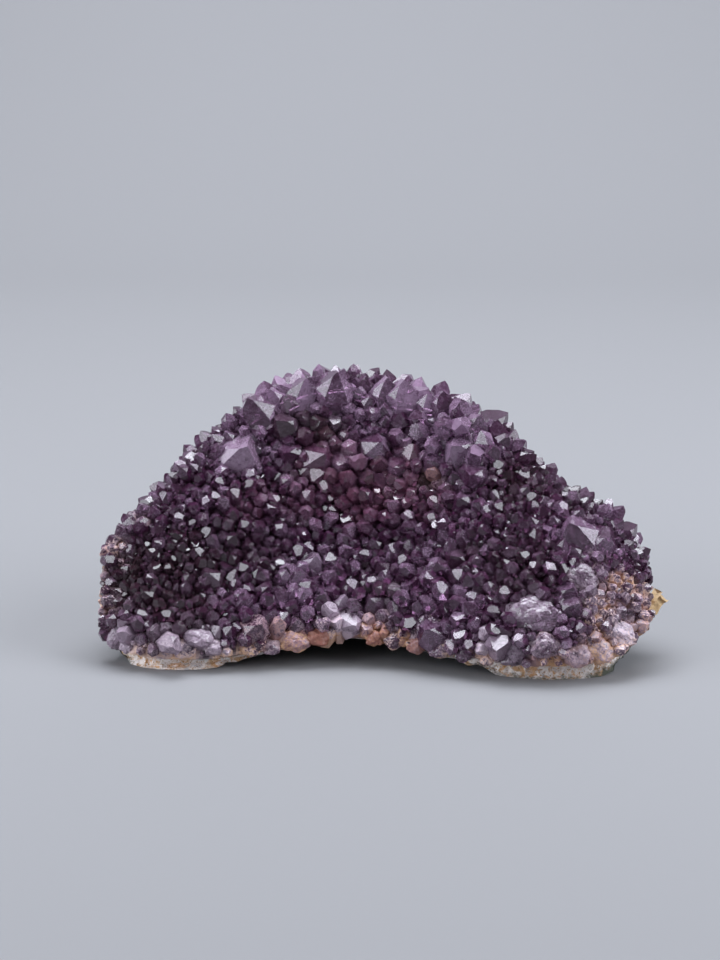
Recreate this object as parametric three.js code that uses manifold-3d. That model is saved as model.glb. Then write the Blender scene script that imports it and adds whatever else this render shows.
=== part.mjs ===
// Amethyst cluster: a loose piece of geode wall that stands on its broken edge.
// A druse of intergrown amethyst points covers the front, the crest and a strip behind it. The host rock
// under the druse is the second piece, and it carries the cluster on two front feet and a long heel.
// Millimetres, +Z up, +X to the right, and the crystals face -Y. The origin is the middle of the
// bounding box's bottom, on the surface that the cluster stands on.
import * as THREE from "three";
import { ConvexGeometry } from "three/addons/geometries/ConvexGeometry.js";
import { ConvexHull } from "three/addons/math/ConvexHull.js";
import { ImprovedNoise } from "three/addons/math/ImprovedNoise.js";
import { mergeVertices } from "three/addons/utils/BufferGeometryUtils.js";
import Module from "manifold-3d";

// Driving dimensions, in millimetres.
// Each contour runs from the left end to the right end over the same ten stations, as [x, y, z].
const FRONT_RIM = [
  [-100, 13, 9], [-84, 2, 5], [-61, 0, 5], [-38, 5, 8], [-15, 8, 11],
  [9, 4, 9], [33, -6, 7], [57, -11, 6], [80, -7, 9], [95, 8, 18],
];
const APRON = [
  [-101, 14, 14], [-83, 5, 14], [-61, 6, 15], [-38, 10, 16], [-16, 13, 18],
  [9, 9, 18], [33, -2, 17], [57, -10, 18], [78, -3, 19], [94, 10, 21],
];
const HOLLOW = [
  [-101, 16, 20], [-83, 15, 26], [-62, 21, 32], [-39, 29, 36], [-16, 33, 39],
  [9, 28, 38], [33, 14, 36], [58, 2, 32], [79, 4, 29], [95, 13, 24],
];
const BROW = [
  [-100, 19, 27], [-83, 24, 38], [-62, 34, 54], [-39, 44, 66], [-16, 48, 71],
  [10, 45, 67], [34, 32, 61], [58, 16, 47], [79, 13, 39], [95, 16, 28],
];
const CREST = [
  [-100, 24, 35], [-85, 34, 49], [-63, 48, 70], [-39, 60, 86], [-16, 64, 91],
  [10, 60, 86], [35, 48, 79], [59, 34, 60], [80, 26, 48], [95, 22, 31],
];
const NAPE = [
  [-98, 32, 29], [-84, 46, 42], [-63, 63, 58], [-39, 77, 69], [-16, 83, 72],
  [10, 79, 68], [35, 66, 63], [59, 48, 49], [80, 38, 38], [94, 30, 26],
];
// The rock's outside, from its edge under the front rim, along the underside and up the back.
const SILL = [
  [-97, 16, 3], [-83, 4, -3], [-61, 3, 0], [-38, 9, 3], [-15, 13, 7],
  [9, 9, 4], [33, -1, 1], [57, -8, -3], [79, -3, 0], [93, 12, 10],
];
const SOLE = [
  [-95, 21, 3], [-81, 18, -3], [-61, 21, -2], [-39, 29, 9], [-15, 32, 13],
  [9, 28, 12], [32, 16, 5], [56, 7, -3], [77, 11, -2], [90, 18, 6],
];
const ARCH_BACK = [
  [-94, 26, 3], [-80, 34, -3], [-61, 42, -3], [-38, 52, 4], [-15, 56, 8],
  [10, 52, 8], [33, 40, 2], [56, 28, -3], [75, 24, -3], [88, 22, 3],
];
const HEEL = [
  [-94, 31, 4], [-81, 47, -3], [-62, 66, -4], [-38, 80, -4], [-15, 86, -4],
  [11, 82, -4], [34, 68, -4], [57, 51, -4], [76, 39, -3], [88, 27, 4],
];
const BACK = [
  [-96, 35, 14], [-83, 51, 16], [-63, 72, 23], [-39, 88, 30], [-15, 94, 34],
  [11, 91, 32], [35, 77, 28], [58, 58, 22], [78, 46, 17], [91, 32, 13],
];
const CRUST = 3.5; // thickness of the druse under its points
const GAP = 0.3; // clearance between the druse and the rock
const THIN = 0.4; // share of the crust's thickness that is left at the two ends
const TAPER = 0.15; // share of the length over which the crust and the rock's lumps thin out to an end
const ROOT = 1.8; // how far the points' roots reach under the crust, before the rock cuts them off
const LUMPS = [[6, 19], [9, 10]]; // height and width of the rock's coarse and fine lumps
const SMOOTH = 0.2; // share of the way round the rock over which its lumps start and end
const CORE = [30, 20]; // y and z of the line that the lumps swell away from
const LIP = [0, 5, -3]; // how the rock stands out past the nape
const VALLEY = 0.2; // depth of the valleys between points, as a share of their radius
const [COLUMNS, ROWS] = [30, 17]; // facets of the rock along the piece and from rim to nape
const WELD = 0.002; // corners closer than this are one corner
const FACE_ANGLE = THREE.MathUtils.degToRad(51.8); // from a point's axis to the normal of its end faces
// Radius of the points at five stations along each contour
const POINT_RADIUS = [
  [2.5, 3.0, 3.0, 3.4, 2.8],
  [2.3, 2.6, 3.2, 3.4, 2.8],
  [2.3, 2.6, 3.0, 2.8, 3.0],
  [2.3, 2.8, 3.4, 2.8, 3.2],
  [2.5, 3.4, 3.6, 3.2, 3.0],
  [2.6, 3.2, 3.4, 3.2, 3.0],
];
const SPREAD = 0.2; // how much the radius of a small point varies, as a share
const SMALL_HEIGHT = [1.0, 1.5]; // least and greatest height of a small point, in radii
const SIDE_SPREAD = 0.14; // how much the distance of a point's sides varies, as a share
// How far out the three large and the three small end faces lie, least and most, as a share of the radius
const [MAJOR_FACE, MINOR_FACE] = [[0, 0.12], [0.12, 0.52]];
const TRIES = 16000; // places tried for the small points
const SPACING = 0.95; // least distance between two points, as a share of their radii together
const [MARGIN_U, MARGIN_V] = [0.01, 0.02]; // strip along the rim with no middle of a point
const RIM_STEP = 0.045; // share of a side between two corners of the crust's rim
const CLEAR = 0.75; // share of a large point's radius that small points keep clear of
const [PAST_U, PAST_V] = [0.02, 0.05]; // how far the cut under the druse runs on past the rim
const SPINE = [0.65, -20]; // line that the cut narrows to: share of the way from rim to nape, and z
const TILT = 0.35; // most that a small point leans, as a share of its height
const SHOWN = 0.86; // share of the way from rim to nape that shows from the front
const SEED = 20417;
// The points that stand out: x and z of the foot as seen from the front, radius, height over the crust,
// and lean along x, y and z.
const LARGE_POINTS = [
  [-52, 67, 8.4, 9, -0.15, -0.45, -0.1],
  [-45, 80, 7, 10, -0.3, -0.1, 0.3],
  [-39, 84, 5, 7, -0.2, 0, 0.3],
  [-37, 85, 4, 7, 0.1, 0.2, 0.4],
  [-29, 86, 6.5, 9, 0.1, -0.1, 0.5],
  [-18, 86, 7, 12, 0.1, 0, 0.6],
  [1, 86, 6.5, 8, -0.1, -0.1, 0.3],
  [7, 84, 6.6, 10, 0, -0.1, 0.7],
  [15, 82, 4.6, 7, 0.2, 0, 0.5],
  [21, 82, 4.5, 8, 0.2, 0, 0.6],
  [33, 77, 5, 7, 0.4, -0.1, 0.3],
  [39, 76, 5.6, 8, 0.5, -0.2, 0.3],
  [-24, 65, 5.5, 8, 0.2, -0.3, 0.2],
  [-15, 63, 6, 7, 0, -0.4, 0],
  [-3, 69, 6, 8, 0.1, -0.3, 0.2],
  [5, 62, 5, 6, 0, -0.3, 0],
  [18, 64, 4.6, 6, 0, -0.3, 0.1],
  [27, 69, 7, 8, 0.1, -0.2, 0.1],
  [32, 62, 6, 7, 0.2, -0.3, -0.1],
  [-36, 76, 5.2, 8, -0.2, -0.2, 0.2],
  [-34, 67, 5, 7, -0.1, -0.3, 0],
  [28, 53, 4.4, 6, -0.2, -0.3, 0.2],
  [67, 45, 8, 8, -0.3, -0.2, 0.2],
  [77, 42, 7, 7, 0.2, -0.3, 0.1],
  [85, 43, 4.6, 6, 0.4, 0, 0.2],
  [55, 22, 8, 6, 0, -0.3, 0.1],
  [65, 25, 5, 5, 0.3, -0.2, 0],
  [56, 14, 6.5, 6, 0, -0.2, -0.1],
  [40, 12, 5.2, 7, -0.1, -0.4, -0.2],
  [17, 13, 7.5, 8, -0.1, -0.2, 0.2],
  [-12, 14, 4.8, 6, 0.1, -0.5, -0.1],
  [-45, 13, 5.8, 7, 0, -0.2, 0.2],
  [-60, 12, 5, 4.5, 0, -0.2, 0],
  [-78, 11, 6.5, 4.5, -0.1, -0.2, 0],
  [-88, 9, 4.6, 4, -0.3, -0.2, 0],
  [-4, 20, 6, 5, 0, -0.3, 0.2],
  [26, 35, 4.4, 6, 0.1, -0.3, 0.2],
  [64, 29, 4.4, 5, 0.1, -0.3, 0.1],
];
// Flat faces where the rock broke: the way each one faces, and its distance from the contours' zero point
const BREAKS = [
  [0.1, 0.95, 0.25, 96], [-0.62, 0.75, 0.2, 97], [0.62, 0.76, 0.15, 85],
  [-0.75, 0.5, -0.43, 83], [0.7, 0.5, -0.5, 71], [0.05, 0.8, -0.6, 62],
  [-0.15, 0.8, 0.55, 104], [-0.5, 0.66, 0.56, 100], [0.42, 0.68, 0.6, 91],
];
// Convex ledges that stand out of the rock, as their corners
const LEDGES = [
  [
    [86, 14, 12], [87, 27, 11], [93, 14, 20], [93, 25, 20],
    [98, 18, 26], [103, 20, 20], [97, 16, 14], [96, 25, 14],
  ],
];

const wasm = await Module();
wasm.setup();
const noise = new ImprovedNoise();
const vector = (values) => new THREE.Vector3(...values);
const curve = (points) => new THREE.CatmullRomCurve3(points.map(vector));
const BED = [FRONT_RIM, APRON, HOLLOW, BROW, CREST, NAPE].map(curve);
const OUTSIDE = [SILL, SOLE, ARCH_BACK, HEEL, BACK].map(curve);
const FLATS = BREAKS.map(([x, y, z, out]) => new THREE.Plane(vector([x, y, z]).normalize(), -out));

// A number from 0 to 1 that follows only from the seed (the mulberry32 generator)
function generator(seed) {
  let state = seed;
  return () => {
    state = (state + 0x6d2b79f5) | 0;
    let t = Math.imul(state ^ (state >>> 15), 1 | state);
    t = (t + Math.imul(t ^ (t >>> 7), 61 | t)) ^ t;
    return ((t ^ (t >>> 14)) >>> 0) / 4294967296;
  };
}

// The crystal bed at a share u of the way from left to right and v from the front rim to the nape.
// Past an edge it goes straight on.
function bedPoint(u, v) {
  const on = (a, b) => new THREE.CatmullRomCurve3(BED.map((line) => line.getPoint(a))).getPoint(b);
  const [a, b] = [THREE.MathUtils.clamp(u, 0, 1), THREE.MathUtils.clamp(v, 0, 1)];
  const p = on(a, b);
  const step = 0.02;
  if (a !== u) p.addScaledVector(on(a, b).sub(on(Math.abs(a - step), b)), Math.abs(u - a) / step);
  if (b !== v) p.addScaledVector(on(a, b).sub(on(a, Math.abs(b - step))), Math.abs(v - b) / step);
  return p;
}

function bedNormal(u, v) {
  const step = 0.01;
  const along = bedPoint(Math.min(1, u + step), v).sub(bedPoint(Math.max(0, u - step), v));
  const up = bedPoint(u, Math.min(1, v + step)).sub(bedPoint(u, Math.max(0, v - step)));
  return along.cross(up).normalize();
}

// How far a place is from the nearer end, up to 1 where the crust has its full thickness
function fromEnd(u) {
  return THREE.MathUtils.clamp(Math.min(u, 1 - u) / TAPER, 0, 1);
}

function crustAt(u) {
  return CRUST * THREE.MathUtils.lerp(THIN, 1, fromEnd(u));
}

// A point at some depth under the bed
function underBed(u, v, depth) {
  return bedPoint(u, v).addScaledVector(bedNormal(u, v), -depth);
}

// The rock's outside opposite that point, broken into lumps and flats, and level where it stands
function rockSkin(u, v) {
  const nape = underBed(u, 1, crustAt(u) + 2 * GAP).add(vector(LIP));
  const lines = OUTSIDE.map((line) => line.getPoint(u));
  const p = new THREE.CatmullRomCurve3([...lines, nape]).getPoint(v);
  for (const flat of FLATS) p.addScaledVector(flat.normal, -Math.max(0, flat.distanceToPoint(p)));
  const lumps = LUMPS.map(([high, wide]) => high * noise.noise(p.x / wide, p.y / wide, p.z / wide));
  const fade = Math.min(1, v / SMOOTH, (1 - v) / SMOOTH, THREE.MathUtils.lerp(THIN, 1, fromEnd(u)));
  const lump = lumps.reduce((sum, height) => sum + height) * fade;
  p.addScaledVector(p.clone().sub(vector([p.x, ...CORE])).normalize(), lump);
  p.z = Math.max(0, p.z);
  return p;
}

// A box whose three sides are bent to follow place(u, v, w), each of them from 0 to 1
function bentBox(columns, rows, layers, place) {
  const box = new THREE.BoxGeometry(1, 1, 1, columns, rows, layers);
  box.deleteAttribute("normal");
  box.deleteAttribute("uv");
  const bent = mergeVertices(box);
  const at = bent.getAttribute("position");
  for (let i = 0; i < at.count; i++) {
    const p = place(at.getX(i) + 0.5, at.getY(i) + 0.5, at.getZ(i) + 0.5);
    at.setXYZ(i, p.x, p.y, p.z);
  }
  return bent;
}

function solidOf(geometry) {
  const bare = geometry.clone();
  bare.deleteAttribute("normal");
  bare.deleteAttribute("uv");
  const merged = mergeVertices(bare, WELD);
  return new wasm.Manifold(
    new wasm.Mesh({
      numProp: 3,
      vertProperties: merged.getAttribute("position").array,
      triVerts: new Uint32Array(merged.index.array),
    }),
  );
}

function geometryOf(solid) {
  const mesh = solid.getMesh();
  const geometry = new THREE.BufferGeometry();
  geometry.setAttribute("position", new THREE.BufferAttribute(mesh.vertProperties, 3));
  geometry.setIndex(new THREE.BufferAttribute(mesh.triVerts, 1));
  return geometry;
}

// The solid without the voids shut in between its points and without loose chips
function outerShell(solid) {
  return solid.decompose().sort((a, b) => b.volume() - a.volume())[0];
}

// The corners of the convex body inside a set of planes
function cornersInside(planes) {
  const corners = [];
  for (let i = 0; i < planes.length; i++)
    for (let j = i + 1; j < planes.length; j++)
      for (let k = j + 1; k < planes.length; k++) {
        const [a, b, c] = [planes[i], planes[j], planes[k]];
        const across = new THREE.Vector3().crossVectors(b.normal, c.normal);
        const det = a.normal.dot(across);
        if (Math.abs(det) < 1e-6) continue;
        const p = across
          .multiplyScalar(-a.constant)
          .addScaledVector(new THREE.Vector3().crossVectors(c.normal, a.normal), -b.constant)
          .addScaledVector(new THREE.Vector3().crossVectors(a.normal, b.normal), -c.constant)
          .divideScalar(det);
        if (planes.every((plane) => plane.distanceToPoint(p) < 1e-5)) corners.push(p);
      }
  return corners;
}

// A quartz point along +Z from its root: six sides and six end faces, three of them larger
function quartzPoint(radius, height, root, random) {
  const planes = [new THREE.Plane(new THREE.Vector3(0, 0, -1), -root)];
  for (let k = 0; k < 6; k++) {
    const turn = (k * Math.PI) / 3;
    const side = new THREE.Vector3(Math.cos(turn), Math.sin(turn), 0);
    planes.push(new THREE.Plane(side, -radius * (1 + SIDE_SPREAD * (2 * random() - 1))));
    const end = side.clone().multiplyScalar(Math.sin(FACE_ANGLE));
    end.z = Math.cos(FACE_ANGLE);
    const out = THREE.MathUtils.lerp(...(k % 2 ? MINOR_FACE : MAJOR_FACE), random());
    planes.push(new THREE.Plane(end, -(height * Math.cos(FACE_ANGLE) + out * radius)));
  }
  return new ConvexGeometry(cornersInside(planes));
}

// Turns a point built along +Z to its axis and sets it on its foot
function plant(geometry, foot, axis, spin) {
  const turn = new THREE.Quaternion().setFromUnitVectors(new THREE.Vector3(0, 0, 1), axis);
  turn.multiply(new THREE.Quaternion().setFromAxisAngle(new THREE.Vector3(0, 0, 1), spin));
  return geometry.applyMatrix4(new THREE.Matrix4().compose(foot, turn, new THREE.Vector3(1, 1, 1)));
}

// The radius of the points at a place on the bed, between the stations of POINT_RADIUS
function radiusAt(u, v) {
  const between = (list, share) => {
    const at = share * (list.length - 1);
    const low = Math.min(Math.floor(at), list.length - 2);
    return list[low] + (list[low + 1] - list[low]) * (at - low);
  };
  return between(POINT_RADIUS.map((line) => between(line, u)), v);
}

// Places all over the part of the bed that shows from the front
function shownPlaces() {
  const places = [];
  for (let u = 0; u <= 1; u += 0.01)
    for (let v = 0; v <= SHOWN; v += 0.01) places.push({ u, v, foot: bedPoint(u, v) });
  return places;
}

// The feet of the small points, spaced by their radius. The corners of the rim and the middles of the large
// points stay low.
function bedSites(large, random) {
  const sites = large.map((point) => ({ ...point, radius: CLEAR * point.radius, height: 0 }));
  for (let s = 0; s < 1; s += RIM_STEP)
    for (const [u, v] of [[s, 0], [1, s], [1 - s, 1], [0, 1 - s]])
      sites.push({ u, v, foot: bedPoint(u, v), radius: 0, height: 0, lean: new THREE.Vector3() });
  for (let i = 0; i < TRIES; i++) {
    const u = THREE.MathUtils.lerp(MARGIN_U, 1 - MARGIN_U, random());
    const v = THREE.MathUtils.lerp(MARGIN_V, 1 - MARGIN_V, random());
    const foot = bedPoint(u, v);
    const radius = radiusAt(u, v) * (1 + SPREAD * (2 * random() - 1));
    if (sites.some((other) => other.foot.distanceTo(foot) < SPACING * (radius + other.radius))) continue;
    const lean = vector([0, 0, 0].map(() => TILT * (2 * random() - 1)));
    const height = radius * THREE.MathUtils.lerp(...SMALL_HEIGHT, random());
    sites.push({ u, v, foot, radius, height, lean });
  }
  return sites;
}

// Triangles that join the sites to their neighbours: the underside of the hull of the sites lifted onto
// a paraboloid
function triangles(sites) {
  const across = new THREE.CatmullRomCurve3(BED.map((line) => line.getPoint(0.5)));
  const [long, wide] = [BED[0].getLength(), across.getLength()];
  const lifted = sites.map(({ u, v }) => {
    const [x, y] = [(u - 0.5) * long, (v - 0.5) * wide];
    return new THREE.Vector3(x, y, (x * x + y * y) / long);
  });
  const number = new Map(lifted.map((p, i) => [p, i]));
  const found = [];
  for (const face of new ConvexHull().setFromPoints(lifted).faces) {
    if (face.normal.z > -1e-4) continue;
    const edges = [face.edge, face.edge.next, face.edge.next.next];
    found.push(edges.map((edge) => number.get(edge.head().point)).reverse());
  }
  return found;
}

// The crust with its small points. Each point rises from the valleys between it and its neighbours.
function bed(large, random) {
  const sites = bedSites(large, random);
  const faces = triangles(sites);
  const corners = sites.map(({ u, v, foot, height, lean }) =>
    foot.clone().addScaledVector(bedNormal(u, v).add(lean).normalize(), height),
  );
  const valleys = faces.map((face) => {
    const middle = (key) => face.reduce((sum, i) => sum + sites[i][key], 0) / face.length;
    return underBed(middle("u"), middle("v"), VALLEY * middle("radius"));
  });
  const floor = sites.map(({ u, v }) => underBed(u, v, crustAt(u) + ROOT));
  const positions = [...corners, ...valleys, ...floor].flatMap((p) => p.toArray());
  const [valley, bottom] = [corners.length, corners.length + valleys.length];
  const index = [];
  const beside = new Map();
  faces.forEach((face, f) => {
    index.push(...face.map((i) => bottom + i).reverse());
    face.forEach((i, k) => beside.set(i + "," + face[(k + 1) % 3], valley + f));
  });
  for (const [edge, here] of beside) {
    const [a, b] = edge.split(",").map(Number);
    const there = beside.get(b + "," + a);
    if (there !== undefined) index.push(a, there, here);
    else index.push(a, b, here, a, bottom + a, b, b, bottom + a, bottom + b);
  }
  const geometry = new THREE.BufferGeometry();
  geometry.setAttribute("position", new THREE.Float32BufferAttribute(positions, 3));
  return geometry.setIndex(index);
}

// The large points, each with its foot at the place where its row sees it
function largePoints() {
  const places = shownPlaces();
  return LARGE_POINTS.map(([x, z, radius, height, ...lean]) => {
    const off = ({ foot }) => Math.hypot(foot.x - x, foot.z - z);
    const place = places.reduce((nearest, other) => (off(other) < off(nearest) ? other : nearest));
    return { ...place, radius, height, lean: vector(lean) };
  });
}

function grown({ u, v, foot, radius, height, lean }, random) {
  const axis = bedNormal(u, v).add(lean).normalize();
  return plant(quartzPoint(radius, height, crustAt(u) + ROOT, random), foot, axis, random() * Math.PI);
}

// What lies behind the druse, from its underside to near a line below the rock
function rockSide() {
  const past = (share, reach) => share + (share < 0.001 ? -reach : share > 0.999 ? reach : 0);
  return bentBox(COLUMNS, ROWS, 1, (u, v, w) => {
    const p = underBed(past(u, PAST_U), past(v, PAST_V), crustAt(u));
    const spine = bedPoint(u, 0).lerp(bedPoint(u, 1), SPINE[0]).setZ(SPINE[1]);
    return p.lerp(spine, w > 0.5 ? 0 : 0.9);
  });
}

// A ledge of the rock, with its corners moved out by a margin
function ledge(corners, margin) {
  const points = corners.map(vector);
  const middle = new THREE.Box3().setFromPoints(points).getCenter(new THREE.Vector3());
  for (const p of points) p.addScaledVector(p.clone().sub(middle).normalize(), margin);
  return solidOf(new ConvexGeometry(points));
}

function druse() {
  const random = generator(SEED);
  const large = largePoints();
  const small = solidOf(bed(large, random));
  const points = large.map((point) => solidOf(grown(point, random)));
  const rock = [solidOf(rockSide()), ...LEDGES.map((corners) => ledge(corners, 2 * GAP))];
  const fused = outerShell(wasm.Manifold.union([small, ...points]).subtract(wasm.Manifold.union(rock)));
  return geometryOf(outerShell(solidOf(geometryOf(fused))));
}

function matrix() {
  const mass = bentBox(COLUMNS, ROWS, 1, (u, v, w) =>
    w > 0.5 ? underBed(u, v, crustAt(u) + GAP) : rockSkin(u, v),
  );
  const fused = wasm.Manifold.union([solidOf(mass), ...LEDGES.map((corners) => ledge(corners, 0))]);
  return geometryOf(outerShell(fused));
}

function piece(name, geometry, color, roughness) {
  const mesh = new THREE.Mesh(geometry, new THREE.MeshStandardMaterial({ color, roughness, metalness: 0 }));
  mesh.name = name;
  return mesh;
}

const cluster = new THREE.Group();
cluster.add(piece("amethyst_druse", druse(), 0x5a3a63, 0.15));
cluster.add(piece("host_rock", matrix(), 0x4a4a3e, 0.9));
const box = new THREE.Box3().setFromObject(cluster);
cluster.position.set(-(box.min.x + box.max.x) / 2, -(box.min.y + box.max.y) / 2, -box.min.z);

export default cluster;
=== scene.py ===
"""Looks of the amethyst cluster: its druse of quartz points, its host rock and a studio.

The tables hold millimetres from the contours' own zero point, with +Z up and the crystals facing -Y.
Meshes are made in metres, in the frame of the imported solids.
"""

import itertools
import math
from dataclasses import dataclass

import bmesh
import bpy
import numpy as np
from bpy.props import FloatProperty, FloatVectorProperty, IntProperty, PointerProperty
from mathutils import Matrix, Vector, noise
from mathutils.bvhtree import BVHTree


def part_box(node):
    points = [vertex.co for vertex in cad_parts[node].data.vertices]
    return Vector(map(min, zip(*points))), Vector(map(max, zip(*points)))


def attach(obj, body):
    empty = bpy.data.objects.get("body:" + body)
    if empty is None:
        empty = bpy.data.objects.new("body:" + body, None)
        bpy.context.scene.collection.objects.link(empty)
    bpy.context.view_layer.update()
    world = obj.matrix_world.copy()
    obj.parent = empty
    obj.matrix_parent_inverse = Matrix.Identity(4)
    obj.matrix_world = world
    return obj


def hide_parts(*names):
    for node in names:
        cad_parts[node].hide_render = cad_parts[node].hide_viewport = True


bl_info = {
    "name": "Amethyst cluster",
    "version": (1, 0, 0),
    "blender": (4, 5, 0),
    "location": "3D View > Sidebar > Amethyst",
    "description": "Builds an amethyst cluster and its studio",
    "category": "Add Mesh",
}

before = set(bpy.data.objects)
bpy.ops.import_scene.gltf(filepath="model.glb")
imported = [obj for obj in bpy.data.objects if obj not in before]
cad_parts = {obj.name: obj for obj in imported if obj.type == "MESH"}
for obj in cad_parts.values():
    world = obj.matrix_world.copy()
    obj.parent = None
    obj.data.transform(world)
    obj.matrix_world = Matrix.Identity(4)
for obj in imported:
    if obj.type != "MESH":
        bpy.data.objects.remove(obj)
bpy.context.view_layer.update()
MM = 0.001

# The crystal bed's contours from the front rim over the crest to the nape. Each runs from the left end to
# the right end, as [x, y, z].
FRONT_RIM = [
    [-100, 13, 9], [-84, 2, 5], [-61, 0, 5], [-38, 5, 8], [-15, 8, 11],
    [9, 4, 9], [33, -6, 7], [57, -11, 6], [80, -7, 9], [95, 8, 18],
]
APRON = [
    [-101, 14, 14], [-83, 5, 14], [-61, 6, 15], [-38, 10, 16], [-16, 13, 18],
    [9, 9, 18], [33, -2, 17], [57, -10, 18], [78, -3, 19], [94, 10, 21],
]
HOLLOW = [
    [-101, 16, 20], [-83, 15, 26], [-62, 21, 32], [-39, 29, 36], [-16, 33, 39],
    [9, 28, 38], [33, 14, 36], [58, 2, 32], [79, 4, 29], [95, 13, 24],
]
BROW = [
    [-100, 19, 27], [-83, 24, 38], [-62, 34, 54], [-39, 44, 66], [-16, 48, 71],
    [10, 45, 67], [34, 32, 61], [58, 16, 47], [79, 13, 39], [95, 16, 28],
]
CREST = [
    [-100, 24, 35], [-85, 34, 49], [-63, 48, 70], [-39, 60, 86], [-16, 64, 91],
    [10, 60, 86], [35, 48, 79], [59, 34, 60], [80, 26, 48], [95, 22, 31],
]
NAPE = [
    [-98, 32, 29], [-84, 46, 42], [-63, 63, 58], [-39, 77, 69], [-16, 83, 72],
    [10, 79, 68], [35, 66, 63], [59, 48, 49], [80, 38, 38], [94, 30, 26],
]
CONTOURS = [FRONT_RIM, APRON, HOLLOW, BROW, CREST, NAPE]
ZERO = np.array([-0.94, -38.86, 0.0])  # the contours' zero point in the frame
ROOM = [np.array(corner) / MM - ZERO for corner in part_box("amethyst_druse")]
GRID = (241, 121)  # places along the bed and across it
GAP = 0.3  # between the druse and the rock
THIN = 0.4  # share of the crust's thickness at the two ends
TAPER = 0.15  # share of the length over which it thins out
END_SHARE = 0.04  # share of the length over which its ends draw in
CRUST_LAYERS = 5
SHOWN = 0.86  # share of the way from rim to nape that shows from the front
FACE_ANGLE = math.radians(51.8)  # from a point's axis to the normal of its end faces

# The photograph's frame and the camera that sees it
IMAGE = (720, 960)
LENS, SENSOR = 85.0, 36.0
EYE = np.array([-8.4, -748.2, 270.0])
LOOK_DOWN = math.radians(15)

# The points that stand out: x and z of the foot as seen from the front, radius, height over the crust, lean
# along x, y and z, then how pale and how milky the crystal is.
LARGE_POINTS = [
    [-52, 67, 8.4, 9, 0, -0.1, 0.1, 0.9, 0.35], [-45, 80, 7, 10, -0.3, -0.1, 0.3, 0.55, 0],
    [-39, 84, 5, 7, -0.2, 0, 0.3, 0.6, 0], [-37, 85, 4, 7, 0.1, 0.2, 0.4, 0.9, 0.2],
    [-29, 86, 6.5, 9, 0.1, -0.1, 0.5, 0.65, 0.1], [-18, 86, 7, 12, 0.1, 0, 0.6, 0.5, 0],
    [1, 86, 6.5, 8, -0.1, -0.1, 0.3, 0.6, 0], [7, 84, 6.6, 10, 0, -0.1, 0.7, 0.7, 0.15],
    [15, 82, 4.6, 7, 0.2, 0, 0.5, 0.6, 0], [21, 82, 4.5, 8, 0.2, 0, 0.6, 0.6, 0],
    [33, 77, 5, 7, 0.4, -0.1, 0.3, 0.5, 0], [39, 76, 5.6, 8, 0.5, -0.2, 0.3, 0.4, 0],
    [-24, 65, 5.5, 8, 0.2, -0.3, 0.2, 0.55, 0], [-15, 63, 6, 7, 0, -0.4, 0, 0.4, 0],
    [-3, 69, 6, 8, 0.1, -0.3, 0.2, 0.7, 0.1], [5, 62, 5, 6, 0, -0.3, 0, 0.6, 0],
    [18, 64, 4.6, 6, 0, -0.3, 0.1, 0.6, 0.1], [27, 69, 7, 8, 0.1, -0.2, 0.1, 0.65, 0],
    [32, 62, 6, 7, 0.2, -0.3, -0.1, 0.7, 0.1], [-36, 76, 5.2, 8, -0.2, -0.2, 0.2, 0.6, 0],
    [-34, 67, 5, 7, -0.1, -0.3, 0, 0.5, 0], [28, 53, 4.4, 6, -0.2, -0.3, 0.2, 0.5, 0],
    [67, 45, 8, 8, -0.3, -0.2, 0.2, 0.6, 0.1], [77, 42, 7, 7, 0.2, -0.3, 0.1, 0.6, 0.1],
    [85, 43, 4.6, 6, 0.4, 0, 0.2, 0.5, 0], [65, 25, 5, 5, 0.3, -0.2, 0, 0.6, 0.3],
    [40, 12, 5.2, 7, -0.1, -0.4, -0.2, 0.9, 0.6], [17, 13, 7.5, 8, -0.1, -0.2, 0.2, 0.4, 0],
    [-12, 14, 4.8, 6, 0.1, -0.5, -0.1, 0.9, 0.7], [-45, 13, 5.8, 7, 0, -0.2, 0.2, 0.2, 0],
    [-4, 20, 6, 5, 0, -0.3, 0.2, 0.8, 0.3], [26, 35, 4.4, 6, 0.1, -0.3, 0.2, 0.5, 0],
    [64, 29, 4.4, 5, 0.1, -0.3, 0.1, 0.5, 0.2], [-11, 88, 3.6, 7, 0.1, 0, 0.5, 0.5, 0],
    [-7, 88, 3.6, 6, 0.2, 0.1, 0.4, 0.5, 0], [28, 81, 4, 7, 0.3, 0.1, 0.4, 0.5, 0],
    [42, 72, 3.6, 6, 0.5, -0.2, 0, 0.4, 0], [-61, 28, 4.2, 6, -0.2, -0.3, 0.2, 0.8, 0.2],
    [-30, 27, 4.2, 6, -0.1, -0.3, 0.3, 0.7, 0.2], [-25, 31, 4, 6, 0.2, -0.2, 0.2, 0.8, 0.4],
    [-55, 7, 2.8, 5, 0, -0.5, -0.3, 1, 0.6],
]
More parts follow.
